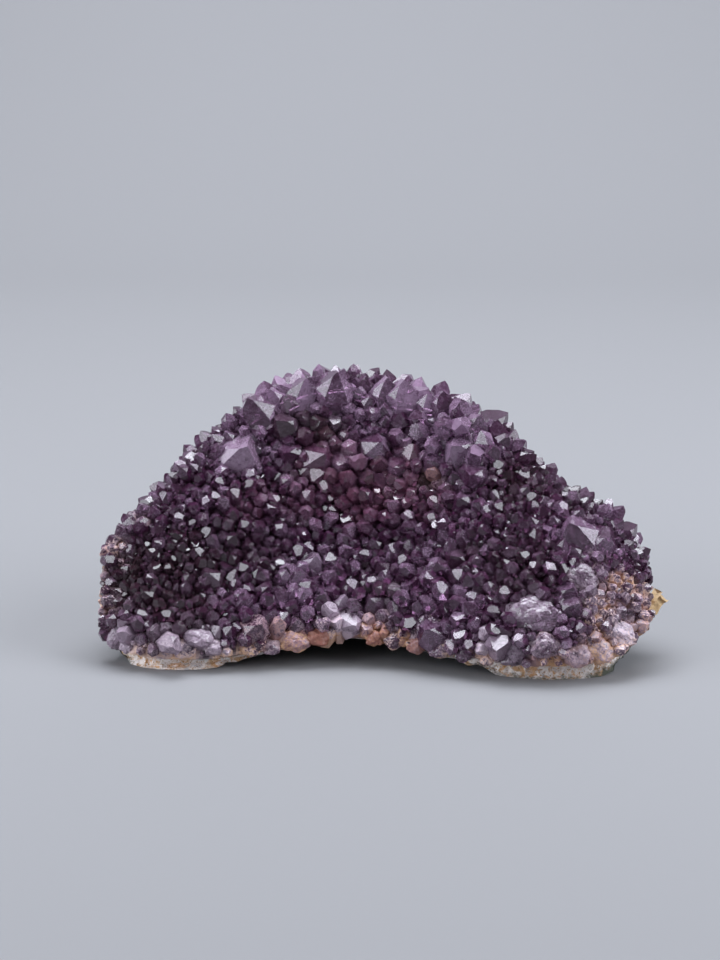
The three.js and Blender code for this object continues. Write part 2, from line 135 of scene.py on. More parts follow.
# Rounded lumps of massive quartz: x and y in the picture, half width, height, how pale and how milky
LUMPS = [
    [530, 613, 8.5, 3.6, 0.5, 0.55], [545, 618, 7, 3.2, 0.3, 0.45], [547, 645, 6, 4.2, 0.4, 0.5],
    [426, 630, 6.5, 3.8, 0.3, 0.15], [116, 638, 4.5, 3, 0.8, 0.7], [128, 646, 5.5, 3.4, 0.9, 0.9],
    [146, 652, 6, 3.4, 0.6, 0.9], [166, 652, 5.5, 3.2, 0.9, 0.8], [184, 648, 6, 3.8, 0.6, 0.7],
    [198, 640, 5.5, 4, 0.9, 0.7], [214, 648, 4.5, 3, 0.6, 0.8], [620, 633, 6, 3.2, 1, 1],
    [582, 577, 6.5, 3.2, 0.3, 0.55], [515, 654, 5, 3.2, 0.7, 0.6], [575, 654, 5.5, 3, 0.7, 0.5],
    [250, 650, 4.5, 2.8, 0.4, 0.3], [272, 650, 4.5, 2.8, 0.6, 0.3], [296, 648, 5, 3, 0.4, 0.3],
    [318, 645, 4.5, 2.8, 0.6, 0.3], [600, 650, 5.5, 2.8, 0.8, 0.5], [372, 652, 3.6, 2.6, 0.6, 0.2],
    [392, 655, 3.6, 2.6, 0.4, 0.2], [413, 658, 3.8, 2.6, 0.6, 0.3], [437, 662, 3.8, 2.6, 0.5, 0.3],
    [461, 668, 4, 2.8, 0.7, 0.4], [484, 673, 4, 2.8, 0.6, 0.5],
]
BASE_RADIUS = 1.45  # usual radius of the small points
# Their radius around places of the picture: x and y there, reach, radius
SIZES = [
    [300, 400, 22, 2.4], [420, 415, 22, 2.4], [350, 470, 18, 2], [470, 440, 18, 2.4], [300, 600, 24, 1.8],
    [440, 600, 24, 1.8], [350, 540, 24, 1.6], [170, 580, 34, 1.3], [520, 500, 24, 1.3], [600, 600, 20, 1],
    [630, 570, 16, 1], [220, 470, 12, 1.3], [560, 640, 16, 1.2], [130, 643, 8, 2.2], [165, 645, 8, 2.6],
    [205, 640, 7, 2.3],
]
# Places of the picture where the quartz is stained, cloudy, paler or darker, with some painted light and
# shade: x and y there, reach, strength
MILKY = [
    [128, 643, 10, 1], [165, 645, 10, 1], [205, 640, 9, 0.9], [340, 618, 11, 0.8], [385, 604, 12, 0.6],
    [535, 618, 13, 0.4], [490, 645, 9, 1], [620, 630, 12, 0.9], [310, 568, 9, 0.3], [520, 665, 12, 0.7],
    [110, 600, 10, 0.3], [122, 530, 9, 0.35], [340, 415, 9, 0.35], [140, 512, 8, 0.25],
    [600, 603, 16, 0.55], [628, 598, 12, 0.5],
]
RUSTY = [
    [265, 640, 12, 1], [310, 640, 12, 1], [340, 635, 8, 0.8], [110, 560, 13, 0.55], [130, 525, 12, 0.5],
    [430, 480, 9, 0.75], [380, 490, 10, 0.5], [590, 560, 14, 0.45], [620, 590, 14, 0.6],
    [590, 650, 14, 0.75], [640, 620, 10, 0.8], [110, 610, 10, 0.5], [370, 655, 12, 0.9],
    [410, 650, 12, 0.8], [550, 670, 14, 0.7],
]
WINE = [
    [330, 470, 18, 0.8], [400, 480, 18, 0.9], [360, 500, 16, 0.9], [300, 500, 14, 0.6],
    [250, 500, 12, 0.4], [430, 500, 12, 0.6],
]
# Smoky quartz; the rows at about x 290 to 330, y 420 to 435 darken a hollow at the crest's top: painted
# shade.
SMOKY_AND_HOLLOW_SHADE = [
    [150, 580, 24, 0.9], [190, 560, 20, 0.8], [180, 610, 18, 0.7], [230, 540, 16, 0.6],
    [260, 560, 16, 0.5], [520, 480, 16, 0.7], [520, 570, 18, 0.7], [480, 560, 16, 0.5], [292, 420, 8, 1],
    [308, 426, 9, 1], [328, 434, 9, 1], [580, 500, 12, 0.5],
]
# Paler quartz; the rows along the crest, at y 385 to 450, paint the light that shines through the thin
# points there.
PALE_AND_BACKLIT = [
    [280, 390, 20, 0.9], [330, 385, 20, 0.75], [400, 400, 22, 0.8], [450, 440, 18, 0.8],
    [240, 450, 14, 0.9], [350, 450, 16, 0.6], [420, 450, 14, 0.65], [480, 450, 12, 0.7],
    [300, 575, 14, 0.6], [590, 530, 16, 0.6], [550, 640, 16, 0.5], [440, 630, 14, 0.5],
    [460, 600, 14, 0.45],
]
TAN = [
    [250, 654, 7, 0.8], [290, 650, 7, 0.9], [330, 645, 6, 0.7], [370, 648, 7, 0.9], [400, 655, 7, 0.8],
    [440, 662, 7, 0.7], [480, 670, 7, 0.6], [560, 678, 9, 0.9], [600, 666, 9, 0.8], [630, 655, 9, 0.9],
    [645, 625, 9, 0.9], [650, 600, 8, 0.8], [180, 668, 9, 0.8], [140, 664, 8, 0.6], [225, 660, 6, 0.8],
    [600, 612, 9, 0.8], [600, 640, 8, 0.7], [622, 584, 8, 0.8], [640, 602, 9, 0.8], [625, 640, 8, 0.7],
    [108, 600, 7, 0.5], [112, 545, 7, 0.5],
]
# Near-black spots in the crevice colour; the row at x 325, y 424 darkens the hollow at the crest's top:
# painted shade.
DARK = [
    [424, 477, 6, 1], [366, 472, 7, 0.7], [386, 594, 6, 0.7], [340, 478, 5, 0.6], [404, 478, 5, 0.7],
    [325, 424, 6, 0.6], [372, 592, 4, 0.6],
]
STAINS_AND_PAINTED_LIGHT = dict(milk=MILKY, rust=RUSTY, wine=WINE, smoke=SMOKY_AND_HOLLOW_SHADE, pale=PALE_AND_BACKLIT, tan=TAN, dark=DARK)
TINTS = (*STAINS_AND_PAINTED_LIGHT, "shade", "facet_reflection", "crust")
UNEVEN = (0.45, 1.15)  # share of its place's stain that a crystal takes
LARGE_WINE = 0.4  # share of the wine red that a large point takes

SEED = 20417
MOST_TRIANGLES = 199000
LEDGE = [98, 19, 18, 14]  # middle and reach of the ochre ledge at the right end
LUMP_BUMPS, LUMP_BUMP_WIDTH = 0.3, 0.8  # height and width, as shares of a lump's size
LUMP_WIDTH = 0.75  # share of a lump's length
LEAST_ROOT = 0.4
ROOT_GAP = 0.15  # from a point's root to the crust's underside
SPREAD_LIMITS = (-0.6, 0.65)  # of the logarithm of a small radius
SMALL_CLEAR = 0.3  # share of a small point that stays clear of a large one
ROUGH_FROM, ROUGH_OVER = 0.2, 1.5  # from the druse, where the rock gets rough and over how much
FLOOR_FROM, FLOOR_OVER = 0.1, 1.0  # the same from the floor
GRIT_SHIFT = 50  # so that the grit doesn't follow the chips

# Quartz as light sees it
QUARTZ_IOR = 1.544
CLEARNESS = 0.58  # transmission weight
ABSORPTION = 45.0

# The studio, in metres
LAMP_COLOUR = (0.88, 0.94, 1.0)
SURROUND_COLOUR = (0.88, 0.93, 1.0, 1.0)
MIDDLE = (0, 0, 0.05)
# Where each light stands and what it faces
LIGHTS = {
    "key": [(-0.15, 0.08, 1.1), MIDDLE],
    "backdrop_light": [(0, 0.7, 1.7), (0, 1.35, 0.4)],
    "left_light": [(-0.88, -0.32, 0.38), MIDDLE],
    "right_light": [(0.82, -0.22, 0.58), MIDDLE],
}
SWEEP_FRONT, SWEEP_SIDE, SWEEP_TOP = -2.5, 3.0, 3.5
BEND_FROM, BEND_RADIUS = 0.75, 0.6  # where the paper starts to bend up
CLIP_START = 0.05


def curve(corners, shares):
    """Places at some shares of the way along a centripetal Catmull-Rom curve through the corners."""
    corners = np.asarray(corners, float)
    line = [2 * corners[0] - corners[1], *corners, 2 * corners[-1] - corners[-2]]
    places = []
    for share in shares:
        at = share * (len(corners) - 1)
        first = min(int(at), len(corners) - 2)
        t = at - first
        a, b, c, d = line[first : first + 4]
        before, here, after = (
            np.sqrt(np.linalg.norm(q - p, axis=-1, keepdims=True)) for p, q in ((a, b), (b, c), (c, d))
        )
        leave = here * ((b - a) / before - (c - a) / (before + here) + (c - b) / here)
        reach = here * ((c - b) / here - (d - b) / (here + after) + (d - c) / after)
        bend = 3 * (c - b) - 2 * leave - reach
        places.append(b + leave * t + bend * t**2 + (2 * (b - c) + leave + reach) * t**3)
    return np.array(places)


def smooth(share):
    """A share from 0 to 1 that starts and ends gently."""
    share = np.clip(share, 0, 1)
    return share * share * (3 - 2 * share)


def unit(vectors):
    return vectors / np.linalg.norm(vectors, axis=-1, keepdims=True)


class Bed:
    """The surface that the points stand on, as a grid from rim to nape and from left to right."""

    def __init__(self):
        lines = np.array([curve(contour, np.linspace(0, 1, GRID[0])) for contour in CONTOURS])
        self.places = curve(lines, np.linspace(0, 1, GRID[1]))
        along = np.gradient(self.places, axis=1)
        across = np.gradient(self.places, axis=0)
        self.normals = unit(np.cross(along, across))
        self.shown = self.places[: int(SHOWN * GRID[1])]

    def between(self, table, u, v):
        """Values between the places of a table over the grid."""
        x = np.clip(u, 0, 1) * (GRID[0] - 1)
        y = np.clip(v, 0, 1) * (GRID[1] - 1)
        i = np.minimum(x.astype(int), GRID[0] - 2)
        j = np.minimum(y.astype(int), GRID[1] - 2)
        x = (x - i)[..., None]
        y = (y - j)[..., None]
        low = table[j, i] * (1 - x) + table[j, i + 1] * x
        high = table[j + 1, i] * (1 - x) + table[j + 1, i + 1] * x
        return low * (1 - y) + high * y

    def at(self, u, v):
        """Places on the bed and the way that it faces there."""
        return self.between(self.places, u, v), unit(self.between(self.normals, u, v))

    def nearest_shown(self, offsets):
        """The shares along and across of the place that shows with the least offset."""
        j, i = np.unravel_index(np.argmin(np.linalg.norm(offsets, axis=-1)), offsets.shape[:2])
        return np.array([i / (GRID[0] - 1), j / (GRID[1] - 1)])

    def seen_at(self, x, y):
        """The shares of the place on the bed that lies under a place of the picture."""
        return self.nearest_shown(in_picture(self.shown) - [x, y])

    def under(self, x, y):
        """The place on the bed that lies under a place of the picture."""
        return self.at(*self.seen_at(x, y))[0]

    def faced_at(self, x, z):
        """The shares of the place on the bed at an x and z, as seen level from the front."""
        return self.nearest_shown(self.shown[..., [0, 2]] - [x, z])


def in_picture(places):
    """Where places of the contours' frame lie in the photograph's frame."""
    ahead = np.array([0, math.cos(LOOK_DOWN), -math.sin(LOOK_DOWN)])
    up = np.array([0, math.sin(LOOK_DOWN), math.cos(LOOK_DOWN)])
    away = places - EYE
    scale = IMAGE[1] / SENSOR * LENS / (away @ ahead)
    return np.stack([IMAGE[0] / 2 + scale * away[..., 0], IMAGE[1] / 2 - scale * (away @ up)], axis=-1)


def crust_at(u, thickness):
    """Thickness of the crust at a share of the way along the bed."""
    return thickness * (THIN + (1 - THIN) * np.clip(np.minimum(u, 1 - u) / TAPER, 0, 1))


def strength_at(bed, rows, places):
    """How strong one table's tint is at some places, from its rows."""
    strength = np.zeros(len(places))
    for x, y, reach, most in rows:
        near = 1 - np.linalg.norm(places - bed.under(x, y), axis=1) / reach
        strength = np.maximum(strength, most * smooth(1.5 * near))
    return strength


def radius_at(bed, places):
    """Usual radius of the small points at some places."""
    total = np.full(len(places), BASE_RADIUS)
    weight = np.ones(len(places))
    for x, y, reach, radius in SIZES:
        near = 3 * smooth(1 - np.linalg.norm(places - bed.under(x, y), axis=1) / reach)
        total += near * radius
        weight += near
    return total / weight


def bumps(places, width, octaves=3):
    """Fractal noise from about -1 to 1 at some places, with bumps about as wide as said."""
    return np.array([noise.fractal(Vector(p / width), 1.0, 2.0, octaves) for p in places])


def bent_box(columns, rows, layers, place):
    """Corners and faces of a closed box whose lattice is bent to follow place(u, v, w)."""
    shape = (columns + 1, rows + 1, layers + 1)
    number = np.arange(np.prod(shape)).reshape(shape)
    sides = []
    for axis, side in itertools.product(range(3), (0, -1)):
        sheet = np.take(number, side, axis=axis)
        quads = np.stack([sheet[:-1, :-1], sheet[1:, :-1], sheet[1:, 1:], sheet[:-1, 1:]], axis=-1)
        outward = (side == -1) != (axis == 1)
        sides.append(quads.reshape(-1, 4)[:, :: 1 if outward else -1])
    used, faces = np.unique(np.concatenate(sides), return_inverse=True)
    u, v, w = (index / (size - 1) for index, size in zip(np.unravel_index(used, shape), shape))
    return place(u, v, w), faces.reshape(-1, 4)


def crust_shell(bed, sizes):
    """The crust under the points: a bumpy top, an even underside over the rock and a broken rim."""

    def place(u, v, w):
        spot, out = bed.at(u, v)
        depth = (1 - w) * crust_at(u, sizes.crust)
        bumpy = sizes.crust_bumps * bumps(spot, sizes.crust_bump_width) * (w == 1)
        rim = (u == 0) | (u == 1) | (v == 0) | (v == 1)
        past = rim * (w > 0) * np.clip(bumps(spot - depth[:, None] * out, sizes.rim_bump_width), 0, 1)
        sideways = unit(np.stack([(u - 0.5) * 3, np.where(v < 0.5, -1, 1), u * 0], axis=-1))
        made = spot - (depth - bumpy)[:, None] * out + (sizes.rim_bumps * past)[:, None] * sideways
        to_end = np.minimum(u, 1 - u) / END_SHARE
        inset = sizes.end_inset * (1 + 0.5 * bumps(spot, sizes.rim_bump_width)) * smooth(1 - to_end)
        made[:, 0] -= np.sign(u - 0.5) * inset
        return np.clip(made, *ROOM)

    return bent_box(sizes.crust_columns, sizes.crust_rows, CRUST_LAYERS, place)


TO_EYE = [0, -math.cos(LOOK_DOWN), math.sin(LOOK_DOWN)]
TO_LIGHTS = [[-0.89, -0.32, 0.33], [0.82, -0.22, 0.53]]
FLASHES = unit(unit(np.array(TO_LIGHTS)) + TO_EYE)  # where a face turns to throw a light to the eye
MOST_TURN = 0.2  # most that a large point leans to have such a face
FITS, SHRINK = 12, 0.92  # tries to fit a crystal in the room, and its size from one to the next
TRIOS = np.array(list(itertools.combinations(range(13), 3)))


def convex_body(normals, reaches):
    """Corners and faces of the body that lies within thirteen planes, or None if it doesn't close."""
    rows = normals[TRIOS]
    meets = abs(np.linalg.det(rows)) > 1e-4
    corners = np.linalg.solve(rows[meets], reaches[TRIOS[meets]][..., None])[..., 0]
    corners = corners[(corners @ normals.T <= reaches + 1e-6).all(axis=1)]
    corners = corners[np.unique(corners.round(3), axis=0, return_index=True)[1]]
    faces = []
    on_plane = abs(corners @ normals.T - reaches) < 2e-3
    for normal, on in zip(normals, on_plane.T):
        mine = np.flatnonzero(on)
        if len(mine) < 3:
            continue
        arms = corners[mine] - corners[mine].mean(axis=0)
        turn = np.arctan2(arms @ np.cross(normal, arms[0]), arms @ arms[0])
        faces.append(mine[np.argsort(turn)].tolist())
    edges = {edge for face in faces for edge in zip(face, face[1:] + face[:1])}
    closed = len(edges) == sum(map(len, faces)) and all((b, a) in edges for a, b in edges)
    return (corners, faces) if closed and len(corners) > 5 else None


def in_room(corners):
    return ((corners > ROOM[0]) & (corners < ROOM[1])).all()


def ball():
    """Corners and faces of a ball of radius 1."""
    body = bmesh.new()
    bmesh.ops.create_icosphere(body, subdivisions=4, radius=1)
    body.verts.ensure_lookup_table()
    corners = np.array([vert.co for vert in body.verts])
    faces = [[vert.index for vert in face.verts] for face in body.faces]
    body.free()
    return corners, faces


class Lump:
    """A rounded lump of massive quartz on the bed, cut off level with the crust's underside."""

    def __init__(self, foot, out, radius, height, root, tints):
        self.foot = foot
        self.tints = tints
        shape, self.faces = ball()
        shape *= (1 + LUMP_BUMPS * bumps(shape + foot, LUMP_BUMP_WIDTH, 5))[:, None]
        along = unit(np.cross([0.0, 1.0, 0.4], out))
        across = np.cross(out, along)
        for _ in range(FITS):
            self.radius = radius
            flat = radius * (shape[:, :1] * along + LUMP_WIDTH * shape[:, 1:2] * across)
            level = np.maximum(height * shape[:, 2], -root)
            self.corners = foot + flat + level[:, None] * out
            if in_room(self.corners):
                break
            radius *= SHRINK
            height *= SHRINK


@dataclass
class Point:
    """A quartz point with its foot on the bed and its root cut off level with the crust's underside."""

    foot: np.ndarray
    out: np.ndarray
    radius: float
    height: float
    axis: np.ndarray
    root: float
    tints: dict
    turned: np.ndarray

    def planes(self, sizes, random):
        """The planes of the root, the six sides and the six end faces."""
        first = unit(self.turned - (self.turned @ self.axis) * self.axis)
        second = np.cross(self.axis, first)
        turns = np.arange(6) * math.pi / 3
        sides = np.cos(turns)[:, None] * first + np.sin(turns)[:, None] * second
        ends = math.sin(FACE_ANGLE) * sides + math.cos(FACE_ANGLE) * self.axis
        sides = math.cos(sizes.narrowing) * sides + math.sin(sizes.narrowing) * self.axis
        side_reach = self.radius * (1 + sizes.side_spread * random.uniform(-1, 1, 6))
        major = random.uniform(0, sizes.major_spread, 6)
        minor = random.uniform(sizes.major_spread, sizes.minor_spread, 6)
        further = np.where(np.arange(6) % 2, major, minor) * self.radius
        end_reach = self.height * math.cos(FACE_ANGLE) + further
        normals = np.vstack([-self.out[None], sides, ends])
        return normals, np.concatenate([[self.root], side_reach, end_reach]) + normals @ self.foot

    def cut(self, sizes, random):
        """Gives the point its corners and faces, smaller where it would leave the room of the solids."""
        for _ in range(FITS):
            body = convex_body(*self.planes(sizes, random))
            if body is None:
                continue
            self.corners, self.faces = body
            if in_room(self.corners):
                return True
            self.height *= SHRINK
            self.radius *= SHRINK
        return False


def root_depth(u, radius, sizes):
    """How far a point reaches under the bed: short of the crust's underside, also where the bed bends."""
    return np.maximum(LEAST_ROOT, crust_at(u, sizes.crust) - ROOT_GAP - radius**2 / sizes.bend_radius)


def tints_at(bed, foot, random):
    """How stained, cloudy, smoky, pale and dark the crystals at some places are, with the painted light and
    shade of their tables.
    """
    tints = {}
    for name, rows in STAINS_AND_PAINTED_LIGHT.items():
        tints[name] = strength_at(bed, rows, foot) * random.uniform(*UNEVEN, len(foot))
    tints["shade"] = random.uniform(0, 1, len(foot))
    return tints


def own_tints(bed, foot, random, pale, milk):
    """The tints of one crystal, which is as pale and as milky as said."""
    tints = {name: values[0] for name, values in tints_at(bed, foot[None], random).items()}
    return tints | {"shade": pale, "milk": milk}


def flashing(axis):
    """An axis leant so that one end face flashes, and the direction that the face turns to."""
    flash = min(FLASHES, key=lambda way: abs(math.acos(axis @ way) - FACE_ANGLE))
    turn = np.clip(math.acos(axis @ flash) - FACE_ANGLE, -MOST_TURN, MOST_TURN)
    towards = unit(flash - (flash @ axis) * axis)
    return math.cos(turn) * axis + math.sin(turn) * towards, flash


def large_points(bed, sizes, random):
    """The points that stand out, each with its foot where its row sees it."""
    points = []
    for x, z, radius, height, *lean, pale, milk in LARGE_POINTS:
        u, v = bed.faced_at(x, z)
        foot, out = bed.at(u, v)
        tints = own_tints(bed, foot, random, pale, milk)
        tints.update(wine=LARGE_WINE * tints["wine"], dark=0)
        root = root_depth(u, radius, sizes)
        axis, turned = flashing(unit(out + lean))
        points.append(Point(foot, out, radius, height, axis, root, tints, turned))
    return [point for point in points if point.cut(sizes, random)]


def lumps(bed, sizes, random):
    """The lumps of massive quartz, each with its foot where its row sees it."""
    made = []
    for x, y, radius, height, pale, milk in LUMPS:
        u, v = bed.seen_at(x, y)
        foot, out = bed.at(u, v)
        tints = own_tints(bed, foot, random, pale, milk)
        made.append(Lump(foot, out, radius, height, root_depth(u, radius, sizes), tints))
    return [lump for lump in made if in_room(lump.corners)]


def tried_feet(bed, sizes, random):
    """Places tried for the small points, spread evenly over the bed, and a radius for each."""
    steps = [np.gradient(bed.places, axis=axis) for axis in (0, 1)]
    area = np.linalg.norm(np.cross(*steps), axis=-1)
    cells = random.choice(area.size, sizes.tries, p=(area / area.sum()).ravel())
    v, u = np.unravel_index(cells, area.shape)
    u = np.clip((u + random.uniform(-0.5, 0.5, sizes.tries)) / (GRID[0] - 1), 0, 1)
    v = np.clip((v + random.uniform(-0.5, 0.5, sizes.tries)) / (GRID[1] - 1), 0, 1)
    feet = bed.at(u, v)[0]
    spread = np.exp(np.clip(random.normal(0, sizes.radius_spread, sizes.tries), *SPREAD_LIMITS))
    return u, v, feet, radius_at(bed, feet) * spread


def free_feet(bed, large, feet, radii, sizes):
    """Which of the small points' feet are clear of the rim and of the large points."""
    rim = np.concatenate([bed.places[0], bed.places[-1], bed.places[:, 0], bed.places[:, -1]])[::3]
    to_rim = np.min(np.linalg.norm(feet[:, None] - rim[None], axis=-1), axis=1)
    free = to_rim >= sizes.from_rim * radii
    for point in large:
        away = np.linalg.norm(feet - point.foot, axis=1)
        free &= away >= sizes.clear * point.radius + SMALL_CLEAR * radii
    return free


def small_feet(bed, large, sizes, random):
    """Feet and radii of the small points, the largest first, each clear of those before it."""
    u, v, feet, radii = tried_feet(bed, sizes, random)
    free = free_feet(bed, large, feet, radii, sizes)
    cell = 2 * sizes.spacing * radii.max()
    taken = {}
    chosen = []
    for i in np.argsort(-radii):
        if not free[i]:
            continue
        home = tuple((feet[i] // cell).astype(int))
        near = [
            other
            for step in itertools.product((-1, 0, 1), repeat=3)
            for other in taken.get(tuple(h + s for h, s in zip(home, step)), ())
        ]
        if any(math.dist(feet[i], feet[j]) < sizes.spacing * (radii[i] + radii[j]) for j in near):
            continue
        taken.setdefault(home, []).append(i)
        chosen.append(i)
    return u[chosen], v[chosen], radii[chosen]


def small_points(bed, large, sizes, random):
    """The small points all over the bed, each with a size, a lean and a tint of its own."""
    u, v, radii = small_feet(bed, large, sizes, random)
    feet, outs = bed.at(u, v)
    tints = tints_at(bed, feet, random)
    heights = radii * random.uniform(sizes.least_height, sizes.most_height, len(radii))
    axes = unit(outs + sizes.lean * random.uniform(-1, 1, feet.shape))
    turned = random.normal(0, 1, feet.shape)
    roots = root_depth(u, radii, sizes)
    points = []
    for i, foot in enumerate(feet):
        own = {name: values[i] for name, values in tints.items()}
        points.append(Point(foot, outs[i], radii[i], heights[i], axes[i], roots[i], own, turned[i]))
    return [point for point in points if point.cut(sizes, random)]


def apart(points):
    """The points in groups in which no two touch, so that each group is one clean mesh."""
    boxes = np.array([[point.corners.min(axis=0), point.corners.max(axis=0)] for point in points])
    groups = []
    for i, (low, high) in enumerate(boxes):
        for group in groups:
            others = boxes[group]
            if not ((others[:, 0] < high) & (others[:, 1] > low)).all(axis=1).any():
                group.append(i)
                break
        else:
            groups.append([i])
    return [[points[i] for i in group] for group in groups]


def keep(mesh, name, domain, values):
    """Keeps a number for each face or corner of a mesh."""
    mesh.attributes.new(name, "FLOAT", domain).data.foreach_set("value", np.array(values, np.float32))


def linked(name, data):
    """A new object in the scene."""
    made = bpy.data.objects.new(name, data)
    bpy.context.scene.collection.objects.link(made)
    return made


def new_object(name, places, faces, tints):
    """A mesh object from places in millimetres, with its tints kept face by face."""
    mesh = bpy.data.meshes.new(name)
    mesh.from_pydata(((places + ZERO) * MM).tolist(), [], faces)
    for tint in TINTS:
        keep(mesh, tint, "FACE", tints[tint])
    return linked(name, mesh)


def group_object(points, random):
    """One object with all the points of a group."""
    places = np.concatenate([point.corners for point in points])
    starts = np.cumsum([0] + [len(point.corners) for point in points])
    faces = [[start + i for i in face] for point, start in zip(points, starts) for face in point.faces]
    whole = (*STAINS_AND_PAINTED_LIGHT, "shade")
    tints = {name: [point.tints[name] for point in points for _ in point.faces] for name in whole}
    # A random tone for each face: painted reflection, standing in for faces that mirror and refract
    # different parts of the room.
    tints["facet_reflection"] = random.uniform(0, 1, len(faces))
    tints["crust"] = np.zeros(len(faces))
    return new_object("points", places, faces, tints)


def crust_object(bed, sizes, random):
    """The crust as an object, with the tints of the bed around each of its faces."""
    places, faces = crust_shell(bed, sizes)
    middles = places[faces].mean(axis=1)
    tints = {name: strength_at(bed, rows, middles) for name, rows in STAINS_AND_PAINTED_LIGHT.items()}
    tints["shade"] = 0.3 + 0.4 * random.uniform(0, 1, len(faces))
    tints["facet_reflection"] = tints["shade"]
    tints["crust"] = np.ones(len(faces))
    return new_object("amethyst_points", places, faces.tolist(), tints)


def fused(base, others):
    """The base object's mesh with all the others joined to it in one solid."""
    for other in others:
        join = base.modifiers.new(other.name, "BOOLEAN")
        join.operation = "UNION"
        join.solver = "MANIFOLD"
        join.object = other
    mesh = bpy.data.meshes.new_from_object(base.evaluated_get(bpy.context.evaluated_depsgraph_get()))
    for other in others:
        bpy.data.objects.remove(other)
    base.modifiers.clear()
    base.data = mesh
    return base


def keep_largest(mesh):
    """Takes loose chips and sealed pockets out of a mesh."""
    body = bmesh.new()
    body.from_mesh(mesh)
    left = set(body.verts)
    shells = []
    while left:
        shell = []
        front = {left.pop()}
        while front:
            here = front.pop()
            shell.append(here)
            near = {edge.other_vert(here) for edge in here.link_edges} & left
            left -= near
            front |= near
        shells.append(shell)
    shells.sort(key=len)
    chips = [vert for shell in shells[:-1] for vert in shell]
    bmesh.ops.delete(body, geom=chips, context="VERTS")
    body.to_mesh(mesh)
    body.free()


def bed_tree(bed, depth):
    """The bed, or a surface at some depth under it, for finding the nearest place on it."""
    sunk = bed.places - np.asarray(depth)[..., None] * bed.normals
    corners = ((sunk + ZERO) * MM).reshape(-1, 3)
    number = np.arange(len(corners)).reshape(GRID[1], GRID[0])
    quads = np.stack([number[:-1, :-1], number[:-1, 1:], number[1:, 1:], number[1:, :-1]], axis=-1)
    return BVHTree.FromPolygons(corners.tolist(), quads.reshape(-1, 4).tolist())


def add_rise(mesh, bed):
    """Keeps at each corner how far it stands over the bed, in millimetres."""
    tree = bed_tree(bed, np.zeros(GRID[::-1]))
    rise = []
    for vert in mesh.vertices:
        place, out, _, away = tree.find_nearest(vert.co)
        rise.append(math.copysign(away, (vert.co - place).dot(out)) / MM)
    keep(mesh, "rise", "POINT", rise)


def smooth_crust(mesh):
    """Shades the crust smooth and the crystal faces flat."""
    crust = np.empty(len(mesh.polygons), np.float32)
    mesh.attributes["crust"].data.foreach_get("value", crust)
    mesh.polygons.foreach_set("use_smooth", crust > 0.5)
    mesh.update()


def check_triangles(mesh, advice):
    """Raises an error if a mesh has more triangles than MOST_TRIANGLES."""
    mesh.calc_loop_triangles()
    if len(mesh.loop_triangles) > MOST_TRIANGLES:
        raise RuntimeError(f"{mesh.name} has too many triangles: {advice}")


class Value:
    """A number that changes over a surface, held by the socket that gives it."""

    def __init__(self, finish, socket):
        self.finish = finish
        self.socket = socket

    def __add__(self, other):
        return self.finish.maths("ADD", self, other)

    def __sub__(self, other):
        return self.finish.maths("SUBTRACT", self, other)

    def __rsub__(self, other):
        return self.finish.maths("SUBTRACT", other, self)

    def __mul__(self, other):
        return self.finish.maths("MULTIPLY", self, other)

    __radd__ = __add__
    __rmul__ = __mul__


class Finish:
    """A material and the nodes that it is made of."""

    def __init__(self, name):
        self.material = bpy.data.materials.new(name)
        self.material.use_nodes = True
        self.tree = self.material.node_tree
        self.tree.nodes.clear()
        self.place = self.node("ShaderNodeTexCoord").outputs["Object"]

    def node(self, kind, settings=None, sockets=None):
        """A node of some type, with its settings, then the values or links of its sockets."""
        made = self.tree.nodes.new(kind)
        for name, setting in (settings or {}).items():
            setattr(made, name, setting)
        for name, given in (sockets or {}).items():
            given = given.socket if isinstance(given, Value) else given
            if isinstance(given, bpy.types.NodeSocket):
                self.tree.links.new(given, made.inputs[name])
            else:
                made.inputs[name].default_value = given
        return made

    def principled(self, sockets):
        return self.node("ShaderNodeBsdfPrincipled", None, sockets)

    def maths(self, operation, *numbers):
        made = self.node("ShaderNodeMath", {"operation": operation}, dict(enumerate(numbers)))
        return Value(self, made.outputs[0])

    def attribute(self, name):
        return Value(self, self.node("ShaderNodeAttribute", {"attribute_name": name}).outputs["Fac"])

    def noise(self, width, detail, rough=0.5, twist=0.0):
        """Soft noise from 0 to 1 with features about as wide as said, in millimetres."""
        sockets = {"Vector": self.place, "Scale": 1 / (width * MM), "Detail": detail}
        sockets |= {"Roughness": rough, "Distortion": twist}
        return Value(self, self.node("ShaderNodeTexNoise", None, sockets).outputs[0])

    def grains(self, width):
        """Distance from the middles of cells about as wide as said, in millimetres."""
        sockets = {"Vector": self.place, "Scale": 1 / (width * MM)}
        return Value(self, self.node("ShaderNodeTexVoronoi", None, sockets).outputs["Distance"])

    def step(self, value, low, high):
        """0 below low, 1 above high and a smooth rise between them."""
        settings = {"interpolation_type": "SMOOTHSTEP"}
        sockets = {"Value": value, "From Min": low, "From Max": high}
        return Value(self, self.node("ShaderNodeMapRange", settings, sockets).outputs["Result"])

    def blend(self, factor, below, above):
        """One colour laid over another, each a socket or a plain red, green and blue."""
        below, above = (c if isinstance(c, bpy.types.NodeSocket) else (*c, 1.0) for c in (below, above))
        made = self.node("ShaderNodeMix", {"data_type": "RGBA"}, {0: factor, 6: below, 7: above})
        return made.outputs[2]

    def bump(self, height, distance, strength):
        sockets = {"Height": height, "Distance": distance * MM, "Strength": strength}
        return self.node("ShaderNodeBump", None, sockets).outputs["Normal"]

    def finished(self, surface, volume=None):
        """Joins the shaders to the material's output."""
        sockets = {"Surface": surface.outputs[0]}
        if volume:
            sockets["Volume"] = volume.outputs[0]
        self.node("ShaderNodeOutputMaterial", None, sockets)
        return self.material


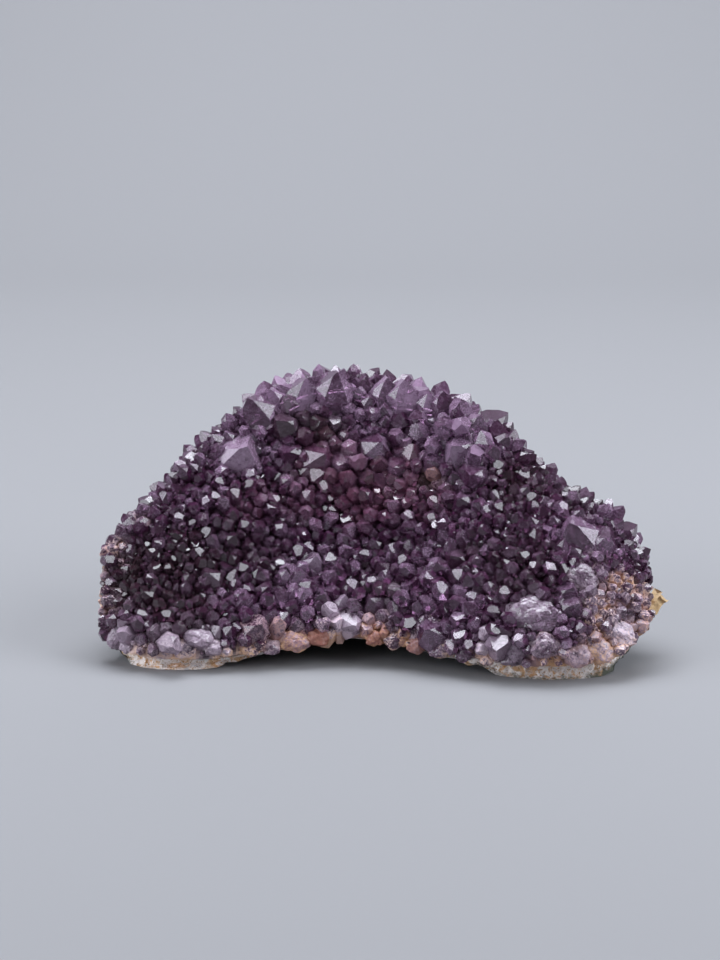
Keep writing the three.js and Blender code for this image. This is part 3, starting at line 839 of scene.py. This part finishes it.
def clear_colour(f, colours, veils, fine, foot, dark):
    """Purple, smoky or wine-red by place, paler in veils, with painted shade between the feet of the
    points.
    """
    wisps = f.step(f.noise(1.7, 5, 0.7, 2.0), 0.42, 0.68)
    shade = f.attribute("shade")
    # Each face's own random tone in this sum is painted reflection; the pale term is paler quartz and,
    # along the crest, painted light shining through the thin points.
    tone = 0.4 * shade + 0.8 * veils + 0.45 * f.attribute("pale") + 0.5 * f.attribute("facet_reflection") + 0.4 * wisps
    tone = f.step(tone - 0.3 * f.attribute("crust"), 0.75, 1.9)
    purple = f.blend(tone, colours.deep, colours.pale)
    smoky = f.blend(tone, colours.smoke_dark, colours.smoke_light)
    # The smoky tint also darkens a hollow at the crest's top: painted shade.
    colour = f.blend(f.attribute("smoke"), purple, smoky)
    wine = 0.65 * f.attribute("wine") * f.step(veils + 0.3 * shade, 0.35, 0.75)
    colour = f.blend(wine, colour, colours.wine)
    # Painted shade: darker low down, between the feet of the points.
    colour = f.blend(0.75 * foot * f.step(fine + 0.4 * wisps, 0.3, 0.7), colour, colours.crevice_shade_and_spots)
    return f.blend(dark, colour, colours.crevice_shade_and_spots)


def massive_colour(f, colours, veils, fine, rust, tan, dark):
    """Milky lilac with rusty and tan stains and near-black spots."""
    milk = f.step(veils + 0.5 * fine + 0.3 * f.attribute("shade"), 0.55, 1.0)
    colour = f.blend(milk, colours.milk_dark, colours.milk)
    colour = f.blend(rust, colour, colours.rust)
    colour = f.blend(tan, colour, colours.tan)
    return f.blend(dark, colour, colours.crevice_shade_and_spots)


def amethyst(colours):
    """See-through quartz, with massive quartz in its place where it is milky, rusty or tan."""
    f = Finish("amethyst")
    veils = f.noise(3.6, 5, 0.65, 1.2)
    fine = f.noise(0.8, 4, 0.65)
    # Near the bed: where the painted shade between the feet falls, and where rust and tan gather.
    foot = 1 - f.step(f.attribute("rise"), 0.0, 3.0)
    # Near-black spots, one of them the painted shade of a hollow at the crest's top.
    dark = f.attribute("dark") * f.step(fine + 0.4 * veils, 0.45, 0.7)
    rust = f.attribute("rust")
    rust = rust * f.step(0.4 * foot + 0.7 * fine + 0.3 * veils + 0.45 * rust, 0.6, 0.95)
    tan = f.attribute("tan") * f.step(0.25 * foot + 0.9 * fine + 0.7 * veils, 0.75, 1.05)
    cloud = f.attribute("milk") * f.step(veils + 0.35 * fine, 0.2, 0.7)
    clear = {
        "Base Color": clear_colour(f, colours, veils, fine, foot, dark),
        "Roughness": 0.09 + 0.2 * cloud,
        "IOR": QUARTZ_IOR,
        "Transmission Weight": CLEARNESS,
        "Normal": f.bump(f.noise(1.4, 2, 0.6), 0.01, 0.4),
    }
    massive = {
        "Base Color": massive_colour(f, colours, veils, fine, rust, tan, dark),
        "Roughness": 0.48 + 0.25 * tan,
        "IOR": QUARTZ_IOR,
        "Normal": f.bump(fine, 0.2, 0.5),
    }
    share = f.step(0.6 * cloud + rust + tan, 0.1, 0.9)
    sockets = {0: share, 1: f.principled(clear).outputs[0], 2: f.principled(massive).outputs[0]}
    surface = f.node("ShaderNodeMixShader", None, sockets)
    absorbed = {"Color": (*colours.absorbed, 1.0), "Density": ABSORPTION}
    return f.finished(surface, f.node("ShaderNodeVolumeAbsorption", None, absorbed))


def basalt(colours):
    """Dark green-black rock with teal patches, and a tan and chalky rind next to the crystals."""
    f = Finish("host_rock")
    broad = f.noise(14, 4, 0.6)
    fine = f.noise(1.6, 4, 0.65)
    speck = f.noise(0.6, 2, 0.5)
    rock = f.blend(f.step(broad + 0.4 * fine, 0.45, 0.95), colours.basalt, colours.basalt_light)
    rock = f.blend(f.step(f.noise(9, 3, 0.6, 0.8), 0.55, 0.66), rock, colours.teal)
    rind = f.blend(f.step(f.noise(4, 5, 0.7, 1.0), 0.38, 0.52), colours.tan, colours.chalk)
    rind = f.blend(f.step(f.noise(2.5, 4, 0.7, 0.5), 0.52, 0.66), rind, colours.rind_grey)
    rind = f.blend(f.step(speck, 0.56, 0.66), rind, colours.ochre)
    near = 1 - f.step(f.attribute("depth") + 5.0 * (fine - 0.5) + 5.0 * (broad - 0.5), 4.0, 7.0)
    colour = f.blend(near, rock, rind)
    colour = f.blend(f.attribute("ledge"), colour, colours.ledge)
    normal = f.bump(0.6 * fine + 0.4 * f.grains(1.1), 0.5, 0.8)
    sockets = {"Base Color": colour, "Roughness": 0.72 + 0.25 * speck, "Normal": normal}
    return f.finished(f.principled(sockets))


def paper(colours):
    """Matte paper of the floor and backdrop."""
    f = Finish("paper")
    colour = f.blend(f.noise(400, 2), colours.paper, [0.98 * c for c in colours.paper])
    return f.finished(f.principled({"Base Color": colour, "Roughness": 0.85}))


def add_depth(mesh, places, bed, sizes):
    """Keeps how far each corner of the rock is from the druse, in millimetres, and how ochre it is."""
    u = np.linspace(0, 1, GRID[0])
    under = np.broadcast_to(crust_at(u, sizes.crust) + GAP, GRID[::-1])
    tree = bed_tree(bed, under)
    depth = np.array([tree.find_nearest(vert.co)[3] / MM for vert in mesh.vertices])
    keep(mesh, "depth", "POINT", depth)
    ledge = smooth(1.6 * (1 - np.linalg.norm(places - ZERO - LEDGE[:3], axis=1) / LEDGE[3]))
    keep(mesh, "ledge", "POINT", ledge)
    return depth


def rock_object(bed, sizes):
    """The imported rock, cut finer and broken rough where no druse covers it and it doesn't stand."""
    body = bmesh.new()
    body.from_mesh(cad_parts["host_rock"].data)
    bmesh.ops.remove_doubles(body, verts=body.verts, dist=2e-6)
    bmesh.ops.subdivide_edges(body, edges=body.edges, cuts=sizes.rock_cuts, use_grid_fill=True)
    bmesh.ops.triangulate(body, faces=body.faces)
    mesh = bpy.data.meshes.new("broken_rock")
    body.to_mesh(mesh)
    body.free()
    places = np.array([vert.co for vert in mesh.vertices]) / MM
    depth = add_depth(mesh, places, bed, sizes)
    outs = np.array([vert.normal for vert in mesh.vertices])
    free = smooth((depth - ROUGH_FROM) / ROUGH_OVER) * smooth((places[:, 2] - FLOOR_FROM) / FLOOR_OVER)
    coarse = 1 - abs(bumps(places, sizes.chip_width))
    sunk = sizes.chip_depth * coarse + sizes.grit_depth * (1 + bumps(places + GRIT_SHIFT, sizes.grit_width))
    places -= (free * sunk)[:, None] * outs
    mesh.vertices.foreach_set("co", (places * MM).ravel())
    mesh.update()
    return linked("broken_rock", mesh)


def real(name, description, default, subtype="NONE"):
    return FloatProperty(name=name, description=description, default=default, subtype=subtype)


def count(name, description, default):
    return IntProperty(name=name, description=description, default=default)


def swatch(name, description, default):
    return FloatVectorProperty(name=name, description=description, default=default, subtype="COLOR")


class ClusterSizes(bpy.types.PropertyGroup):
    """Sizes of the druse and the rock, in millimetres where nothing else is said."""

    crust: real("Crust", "Thickness of the crust", 3.5)
    crust_bumps: real("Crust bumps", "Their height", 0.5)
    crust_bump_width: real("Crust bump width", "Width of those bumps", 4)
    rim_bumps: real("Rim bumps", "How far the broken rim stands out", 2.0)
    rim_bump_width: real("Rim bump width", "Width of its bumps", 2.2)
    end_inset: real("End inset", "How far the crust's ends draw in", 2.4)
    crust_columns: count("Crust columns", "Faces along the crust", 180)
    crust_rows: count("Crust rows", "Faces across the crust", 60)
    narrowing: real("Narrowing", "How far a point's sides lean in", 0.12, "ANGLE")
    side_spread: real("Side spread", "Unevenness of a point's sides", 0.16)
    major_spread: real("Large faces", "Spread of the large end faces", 0.1)
    minor_spread: real("Small faces", "Spread of the small end faces", 0.3)
    bend_radius: real("Bend", "Tightest bend of the bed, doubled", 50)
    tries: count("Tries", "Places tried for the small points", 30000)
    radius_spread: real("Radius spread", "Spread of small radii", 0.38)
    spacing: real("Spacing", "Distance of two points, in radii", 0.64)
    clear: real("Clear", "Share of a large point kept clear", 0.74)
    from_rim: real("From rim", "Distance from the rim, in radii", 0.5)
    least_height: real("Least height", "Of a small point, in radii", 1.3)
    most_height: real("Most height", "Of a small point, in radii", 2.6)
    lean: real("Lean", "Most that a small point leans", 0.4)
    rock_cuts: count("Rock cuts", "Cuts in each edge", 5)
    chip_depth: real("Chip depth", "Depth of the rock's chips", 1.6)
    chip_width: real("Chip width", "Their width", 7)
    grit_depth: real("Grit depth", "Depth of the rock's grit", 0.6)
    grit_width: real("Grit width", "Its width", 2.2)


class ClusterColours(bpy.types.PropertyGroup):
    """Colours of the quartz, the rock and the studio."""

    deep: swatch("Deep", "Darkest purple", (0.074, 0.021, 0.058))
    pale: swatch("Pale", "Lightest purple", (0.54, 0.35, 0.53))
    absorbed: swatch("Through", "What light keeps on its way through", (0.62, 0.53, 0.63))
    smoke_dark: swatch("Smoke", "Darkest smoky quartz", (0.042, 0.018, 0.026))
    smoke_light: swatch("Light smoke", "Lightest smoky quartz", (0.21, 0.13, 0.18))
    # Painted shade between the points' feet, and also the colour of the near-black spots.
    crevice_shade_and_spots: swatch("Crevice", "Dark between the points' feet", (0.035, 0.016, 0.016))
    wine: swatch("Wine", "Wine-red stain", (0.34, 0.12, 0.19))
    rust: swatch("Rust", "Rusty specks", (0.235, 0.085, 0.065))
    milk: swatch("Milk", "Cloudy quartz", (0.54, 0.43, 0.52))
    milk_dark: swatch("Dark milk", "Darkest cloudy quartz", (0.22, 0.14, 0.20))
    basalt: swatch("Basalt", "Darkest host rock", (0.012, 0.016, 0.013))
    basalt_light: swatch("Light basalt", "Lightest host rock", (0.075, 0.08, 0.06))
    teal: swatch("Teal", "Teal patches", (0.012, 0.05, 0.048))
    tan: swatch("Tan", "Tan of the rind", (0.66, 0.39, 0.21))
    chalk: swatch("Chalk", "Chalk of the rind", (0.88, 0.80, 0.78))
    rind_grey: swatch("Rind grey", "Grey of the rind", (0.62, 0.58, 0.60))
    ledge: swatch("Ledge", "Ledge at the right end", (0.56, 0.39, 0.22))
    ochre: swatch("Ochre", "Specks of the rind", (0.40, 0.20, 0.05))
    paper: swatch("Paper", "Floor and backdrop", (0.197, 0.192, 0.202))


class StudioSettings(bpy.types.PropertyGroup):
    """Light of the studio."""

    key: real("Key light", "Its power", 7, "POWER")
    key_size: real("Key size", "Its width", 0.65, "DISTANCE")
    back: real("Backdrop light", "Its power", 60, "POWER")
    back_size: real("Backdrop size", "Its width", 1.6, "DISTANCE")
    left: real("Left light", "Its power", 9.5, "POWER")
    right: real("Right light", "Its power", 11.5, "POWER")
    side_size: real("Side light size", "Their width", 0.75, "DISTANCE")
    surround: real("Surround", "Its strength", 0.22)


class CLUSTER_OT_druse(bpy.types.Operator):
    """Grows the crust and all its quartz points as one solid"""

    bl_idname = "cluster.grow_druse"
    bl_label = "Grow druse"

    def execute(self, context):
        sizes = context.scene.cluster_sizes
        random = np.random.default_rng(SEED)
        bed = Bed()
        large = large_points(bed, sizes, random)
        large += lumps(bed, sizes, random)
        points = large + small_points(bed, large, sizes, random)
        crust = crust_object(bed, sizes, random)
        druse = fused(crust, [group_object(group, random) for group in apart(points)])
        keep_largest(druse.data)
        check_triangles(druse.data, "give the points more spacing")
        add_rise(druse.data, bed)
        smooth_crust(druse.data)
        druse.data.materials.clear()
        druse.data.materials.append(amethyst(context.scene.cluster_colours))
        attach(druse, "root")
        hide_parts("amethyst_druse")
        return {"FINISHED"}


class CLUSTER_OT_rock(bpy.types.Operator):
    """Breaks the host rock rough and gives it its rind"""

    bl_idname = "cluster.break_rock"
    bl_label = "Break host rock"

    def execute(self, context):
        rock = rock_object(Bed(), context.scene.cluster_sizes)
        check_triangles(rock.data, "give the rock fewer cuts")
        rock.data.shade_flat()
        rock.data.materials.append(basalt(context.scene.cluster_colours))
        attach(rock, "root")
        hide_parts("host_rock")
        return {"FINISHED"}


def sweep_mesh():
    """A sheet of paper that lies flat, then bends up into a backdrop."""
    turns = np.linspace(0, math.pi / 2, 25)
    bend = [(BEND_FROM + BEND_RADIUS * math.sin(a), BEND_RADIUS - BEND_RADIUS * math.cos(a)) for a in turns]
    profile = [(SWEEP_FRONT, 0.0), *bend, (BEND_FROM + BEND_RADIUS, SWEEP_TOP)]
    corners = [(x, y, z) for y, z in profile for x in (-SWEEP_SIDE, SWEEP_SIDE)]
    faces = [(2 * i, 2 * i + 1, 2 * i + 3, 2 * i + 2) for i in range(len(profile) - 1)]
    mesh = bpy.data.meshes.new("paper_sweep")
    mesh.from_pydata(corners, [], faces)
    mesh.shade_smooth()
    return mesh


def add_light(name, power, size):
    """A square soft light that stands and faces as its row says."""
    place, target = LIGHTS[name]
    lamp = bpy.data.lights.new(name, "AREA")
    lamp.energy = power
    lamp.size = size
    lamp.color = LAMP_COLOUR
    made = linked(name, lamp)
    made.location = place
    made.rotation_euler = (Vector(target) - Vector(place)).to_track_quat("-Z", "Y").to_euler()


def light_all_round(scene, strength):
    """Gives the scene a faint light from all sides."""
    world = scene.world or bpy.data.worlds.new("surround")
    scene.world = world
    world.use_nodes = True
    background = world.node_tree.nodes["Background"]
    background.inputs["Color"].default_value = SURROUND_COLOUR
    background.inputs["Strength"].default_value = strength


def add_camera(scene):
    """Sets up a camera at the photograph's angle."""
    camera = linked("camera", bpy.data.cameras.new("camera"))
    camera.data.lens = LENS
    camera.data.sensor_width = SENSOR
    camera.data.clip_start = CLIP_START
    camera.location = (EYE + ZERO) * MM
    camera.rotation_euler = (math.pi / 2 - LOOK_DOWN, 0, 0)
    scene.camera = camera


class CLUSTER_OT_studio(bpy.types.Operator):
    """Sets up the paper sweep, the soft light and the camera"""

    bl_idname = "cluster.set_studio"
    bl_label = "Set up studio"

    def execute(self, context):
        scene = context.scene
        studio = scene.cluster_studio
        sweep = linked("paper_sweep", sweep_mesh())
        sweep.data.materials.append(paper(scene.cluster_colours))
        add_light("key", studio.key, studio.key_size)
        add_light("backdrop_light", studio.back, studio.back_size)
        add_light("left_light", studio.left, studio.side_size)
        add_light("right_light", studio.right, studio.side_size)
        light_all_round(scene, studio.surround)
        add_camera(scene)
        scene.view_settings.view_transform = "Standard"
        return {"FINISHED"}


class CLUSTER_PT_panel(bpy.types.Panel):
    """Sidebar panel that lists the operators and their settings"""

    bl_label = "Amethyst cluster"
    bl_idname = "CLUSTER_PT_panel"
    bl_space_type = "VIEW_3D"
    bl_region_type = "UI"
    bl_category = "Amethyst"

    def draw(self, context):
        for operator in OPERATORS:
            self.layout.operator(operator.bl_idname)
        for settings in SETTINGS:
            group = getattr(context.scene, settings)
            for name in group.__annotations__:
                self.layout.prop(group, name)


OPERATORS = (CLUSTER_OT_druse, CLUSTER_OT_rock, CLUSTER_OT_studio)
SETTINGS = dict(cluster_sizes=ClusterSizes, cluster_colours=ClusterColours, cluster_studio=StudioSettings)


def register():
    for cls in (*SETTINGS.values(), *OPERATORS, CLUSTER_PT_panel):
        bpy.utils.register_class(cls)
    for name, cls in SETTINGS.items():
        setattr(bpy.types.Scene, name, PointerProperty(type=cls))


def unregister():
    for name in SETTINGS:
        delattr(bpy.types.Scene, name)
    for cls in (CLUSTER_PT_panel, *OPERATORS, *SETTINGS.values()):
        bpy.utils.unregister_class(cls)


def main():
    register()
    bpy.ops.cluster.grow_druse()
    bpy.ops.cluster.break_rock()
    bpy.ops.cluster.set_studio()


if __name__ == "__main__":
    main()
